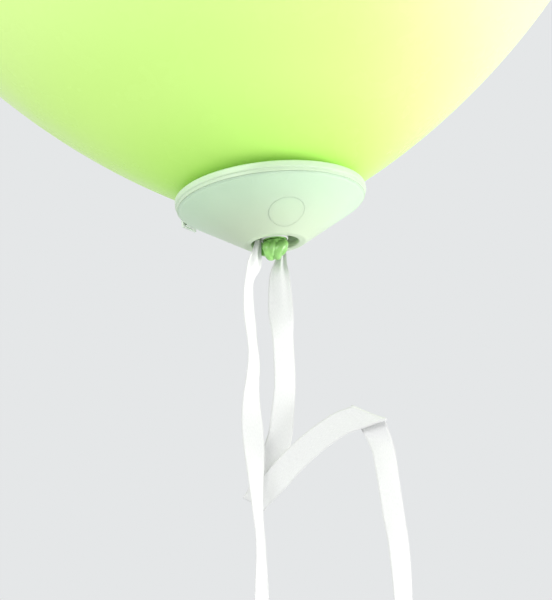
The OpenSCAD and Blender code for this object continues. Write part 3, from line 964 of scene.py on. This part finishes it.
def screw_tree(finish_used):
    """Pan-head screws driven up into the bosses, with a cross recess and a ridged shank."""
    tree = Tree("Screw ring", ring_inputs(
        3, 23.5 * MM, SCREW_LOW.z, -130, 100,
        ("Head radius", "Float", 1.5 * MM), ("Shank radius", "Float", 0.72 * MM)))
    high = SCREW_HIGH.z - SCREW_LOW.z
    head = tree.add("GeometryNodeMeshUVSphere", None, Segments=32, Rings=16,
                    Radius=tree.value("Head radius")).outputs[0]
    head = tree.moved(head, (0, 0, 1 * MM), (1, 1, 0.66))
    trim = tree.add("GeometryNodeMeshCube", None, Size=(4 * MM, 4 * MM, 2 * MM)).outputs[0]
    cross = [tree.add("GeometryNodeMeshCube", None, Size=size).outputs[0]
             for size in ((1.7 * MM, 0.32 * MM, 0.9 * MM), (0.32 * MM, 1.7 * MM, 0.9 * MM))]
    cross = [tree.moved(blade, (0, 0, 0.1 * MM)) for blade in cross]
    cut = tree.group.nodes.new("GeometryNodeMeshBoolean")
    cut.operation = "DIFFERENCE"
    tree.group.links.new(head, cut.inputs["Mesh 1"])
    for blade in (tree.moved(trim, (0, 0, 2 * MM)), *cross):
        tree.group.links.new(blade, cut.inputs["Mesh 2"])
    shank = tree.add("GeometryNodeMeshCylinder", None, Vertices=24,
                     Radius=tree.value("Shank radius"), Depth=high - 1 * MM).outputs["Mesh"]
    shank = tree.moved(shank, (0, 0, 0.5 * MM + high / 2))
    threads = []
    for i in range(7):
        rib = tree.add("GeometryNodeMeshCone", None, Vertices=24, Radius_Top=0.6 * MM,
                       Radius_Bottom=0.79 * MM, Depth=0.3 * MM).outputs["Mesh"]
        threads.append(tree.moved(rib, (0, 0, (2.2 + 0.45 * i) * MM)))
    tree.ring(tree.join(cut.outputs[0], shank, *threads), finish_used)
    return tree


# ---- Operators ----
class BALLOON_OT_skin(bpy.types.Operator):
    """Build the blown skin with its funnel and neck"""
    bl_idname = "balloon.skin"
    bl_label = "Balloon skin"
    bl_options = {"REGISTER", "UNDO"}

    def execute(self, context):
        mesh = gathered_neck(skin_mesh())
        piece("balloon_skin", mesh, latex_finish(), "balloon", "latex", "balloon_body",
              "balloon_neck")
        return {"FINISHED"}


class BALLOON_OT_knot(bpy.types.Operator):
    """Build the tied knot, the spare end and its rolled lip"""
    bl_idname = "balloon.knot"
    bl_label = "Knot"
    bl_options = {"REGISTER", "UNDO"}

    def execute(self, context):
        used = knot_finish()
        piece("overhand_knot", knot_mesh(), used, "balloon", "latex", "neck_knot")
        piece("spare_end", spare_end_mesh(), used, "balloon", "latex", "neck_tail")
        piece("rolled_lip", bead_mesh(), used, "balloon", "latex", "lip_bead")
        return {"FINISHED"}


class BALLOON_OT_ribbon(bpy.types.Operator):
    """Build the satin ribbon: its turn round the neck and both tails"""
    bl_idname = "balloon.ribbon"
    bl_label = "Ribbon"
    bl_options = {"REGISTER", "UNDO"}

    def execute(self, context):
        sizes = context.scene.balloon_sizes
        used = satin_finish()
        loop = piece("ribbon_turn", loop_mesh(), used, "balloon", "satin", "ribbon_loop")
        loop.data.uv_layers[0].name = "Cloth"
        for name, rows, length, nodes in (
            ("ribbon_left_tail", left_rows(), sizes.left_length, ("ribbon_left",)),
            ("ribbon_right_tail", right_rows(), sizes.right_length,
             ("ribbon_right_upper", "ribbon_right_arch", "ribbon_right_lower")),
        ):
            mesh, path = ribbon_mesh(name, rows)
            tail = piece(name, mesh, used, "balloon", "satin", *nodes)
        return {"FINISHED"}


class BALLOON_OT_pod(bpy.types.Operator):
    """Build the light pod's two shells, its press pad and its pull tab"""
    bl_idname = "balloon.pod"
    bl_label = "Light pod"
    bl_options = {"REGISTER", "UNDO"}

    def execute(self, context):
        shell = frosted_finish("Frosted shell", 0.25, 0.3)
        dome = frosted_finish("Milky dome", 0.55, 0.36)
        refined("top_cover", "pod_shell", shell, "pod", "frosted_shell", 0.35 * MM, 4)
        true_cone(refined("dome_cover", "pod_dome", dome, "pod", "frosted_dome",
                          0.2 * MM, 3, close_seam))
        true_cone(refined("press_pad", "pod_press_pad", dome, "pad", "frosted_dome",
                          0.08 * MM, 2, close_pad_gap))
        refined("pull_tab", "pod_pull_tab", film_finish(), "tab", "clear_film", 0.04 * MM, 1)
        return {"FINISHED"}


class BALLOON_OT_electronics(bpy.types.Operator):
    """Build what the pod holds: board, lamps, screws, chip, switch and cell"""
    bl_idname = "balloon.electronics"
    bl_label = "Electronics"
    bl_options = {"REGISTER", "UNDO"}

    def execute(self, context):
        black = mottled_finish("Black epoxy", (0.03, 0.03, 0.033, 1), 0.35, 900)
        steel = brushed_finish("Zinc plate", (0.66, 0.66, 0.68, 1), 0.3)
        refined("circuit_board", "pod_board", board_finish(), "pod", "board", 0.05 * MM)
        refined("flasher_chip", "pod_chip", black, "pod", "chip", 0.3 * MM, 4)
        refined("switch_body", "pod_switch", black, "pod", "chip", 0.1 * MM)
        red = mottled_finish("Red stem", (0.5, 0.05, 0.04, 1), 0.4, 900)
        refined("switch_stem", "pod_switch_stem", red, "stem", "stem_red", 0.15 * MM)
        can = brushed_finish("Nickel can", (0.75, 0.75, 0.77, 1), 0.22)
        refined("coin_cell", "pod_cell", can, "pod", "cell_steel", 0.3 * MM, 4)
        foam = mottled_finish("White foam ring", (0.86, 0.86, 0.84, 1), 0.6, 700)
        refined("cell_ring", "pod_cell_ring", foam, "pod", "white_plastic", 0.1 * MM)
        refined("cell_clip", "pod_cell_clip", steel, "pod", "clip_steel", 0.05 * MM)
        brass = brushed_finish("Brass", (0.85, 0.64, 0.25, 1), 0.25)
        refined("cell_contact", "pod_contact", brass, "pod", "contact_brass", 0.05 * MM)
        for name, tree, used, slot, node in (
            ("pod_lamps", lamp_tree, lamp_finish(), "lamp", "lamps"),
            ("pod_screws", screw_tree, steel, "screw_steel", "board_screws"),
        ):
            piece(name, tree(used).mesh(name), used, "pod", slot, node)
        return {"FINISHED"}


class BALLOON_OT_stage(bpy.types.Operator):
    """Set up the pale floor, the soft lights and the camera"""
    bl_idname = "balloon.stage"
    bl_label = "Stage"
    bl_options = {"REGISTER", "UNDO"}

    def execute(self, context):
        scene = context.scene
        stage = scene.balloon_stage
        self.floor(scene)
        self.world(scene)
        self.light(scene, "Key", (1.5, 0.0, -0.62), stage.key_power, 1.1, (1.0, 0.995, 0.98))
        self.light(scene, "Front", (-1.1, -1.5, 0.7), stage.front_power, 1.4, (1.0, 1.0, 1.0))
        self.camera(scene, stage)
        scene.view_settings.view_transform = "Standard"
        return {"FINISHED"}

    def floor(self, scene):
        """A pale round floor well below the ribbon."""
        turns, radius, height = 64, 1.9, -0.8
        points = []
        for i in range(turns):
            a = 2 * math.pi * i / turns
            points.append((radius * math.cos(a), radius * math.sin(a), height))
        mesh = smooth_mesh("Floor", points, [tuple(range(turns))])
        pale = mottled_finish("Pale floor", (0.8, 0.81, 0.815, 1), 0.7, 3, 0.01, 0.02)
        mesh.materials.append(pale)
        floor = bpy.data.objects.new("floor", mesh)
        scene.collection.objects.link(floor)

    def world(self, scene):
        """An even pale room."""
        sky = bpy.data.worlds.new("Soft room")
        sky.use_nodes = True
        ground = sky.node_tree.nodes["Background"]
        ground.inputs["Color"].default_value = (0.783, 0.799, 0.807, 1)
        ground.inputs["Strength"].default_value = 1.0
        scene.world = sky

    def light(self, scene, name, place, power, size, colour):
        """A soft round light that faces the pod."""
        lamp = bpy.data.lights.new(name, "AREA")
        lamp.energy, lamp.size, lamp.color = power, size, colour
        lamp.shape = "DISK"
        made = bpy.data.objects.new(name, lamp)
        made.location = place
        aim = POD_POINT - Vector(place)
        made.rotation_euler = aim.to_track_quat("-Z", "Y").to_euler()
        made.visible_camera = False
        scene.collection.objects.link(made)

    def camera(self, scene, stage):
        """Looks up at the pod with the roll that leans the balloon to the left."""
        e, t = stage.elevation, stage.roll
        ahead = Vector((0, math.cos(e), math.sin(e)))
        right, up = Vector((1, 0, 0)), Vector((0, -math.sin(e), math.cos(e)))
        dx, dy = FRAME_W / 2 - POD_X, POD_Y - FRAME_H / 2
        x, y = dx * math.cos(t) + dy * math.sin(t), -dx * math.sin(t) + dy * math.cos(t)
        aim = (ahead + right * x / FOCAL + up * y / FOCAL).normalized()
        side = right * math.cos(t) - up * math.sin(t)
        side = (side - aim * side.dot(aim)).normalized()
        top = side.cross(aim)
        lens = bpy.data.cameras.new("Camera")
        lens.lens = 36 * FOCAL / FRAME_H
        lens.clip_start, lens.clip_end = 0.05, 40
        made = bpy.data.objects.new("Camera", lens)
        turn = Matrix((side, top, -aim)).transposed().to_4x4()
        made.matrix_world = Matrix.Translation(POD_POINT - ahead * stage.distance) @ turn
        scene.collection.objects.link(made)
        scene.camera = made


OPERATORS = (BALLOON_OT_ribbon, BALLOON_OT_skin, BALLOON_OT_knot, BALLOON_OT_pod,
             BALLOON_OT_electronics, BALLOON_OT_stage)


class BALLOON_PT_panel(bpy.types.Panel):
    bl_idname = "BALLOON_PT_panel"
    bl_label = "Latex balloon"
    bl_space_type = "VIEW_3D"
    bl_region_type = "UI"
    bl_category = "Balloon"

    def draw(self, context):
        for kind in OPERATORS:
            self.layout.operator(kind.bl_idname)


GROUPS = (("balloon_sizes", BalloonSizes), ("balloon_colours", BalloonColours),
          ("balloon_stage", BalloonStage))


def register():
    for name, kind in GROUPS:
        bpy.utils.register_class(kind)
        setattr(bpy.types.Scene, name, PointerProperty(type=kind))
    for kind in (*OPERATORS, BALLOON_PT_panel):
        bpy.utils.register_class(kind)


def unregister():
    for kind in (BALLOON_PT_panel, *reversed(OPERATORS)):
        bpy.utils.unregister_class(kind)
    for name, kind in reversed(GROUPS):
        delattr(bpy.types.Scene, name)
        bpy.utils.unregister_class(kind)


def main():
    register()
    bpy.ops.balloon.ribbon()
    bpy.ops.balloon.skin()
    bpy.ops.balloon.knot()
    bpy.ops.balloon.pod()
    bpy.ops.balloon.electronics()
    bpy.ops.balloon.stage()


if __name__ == "__main__":
    main()
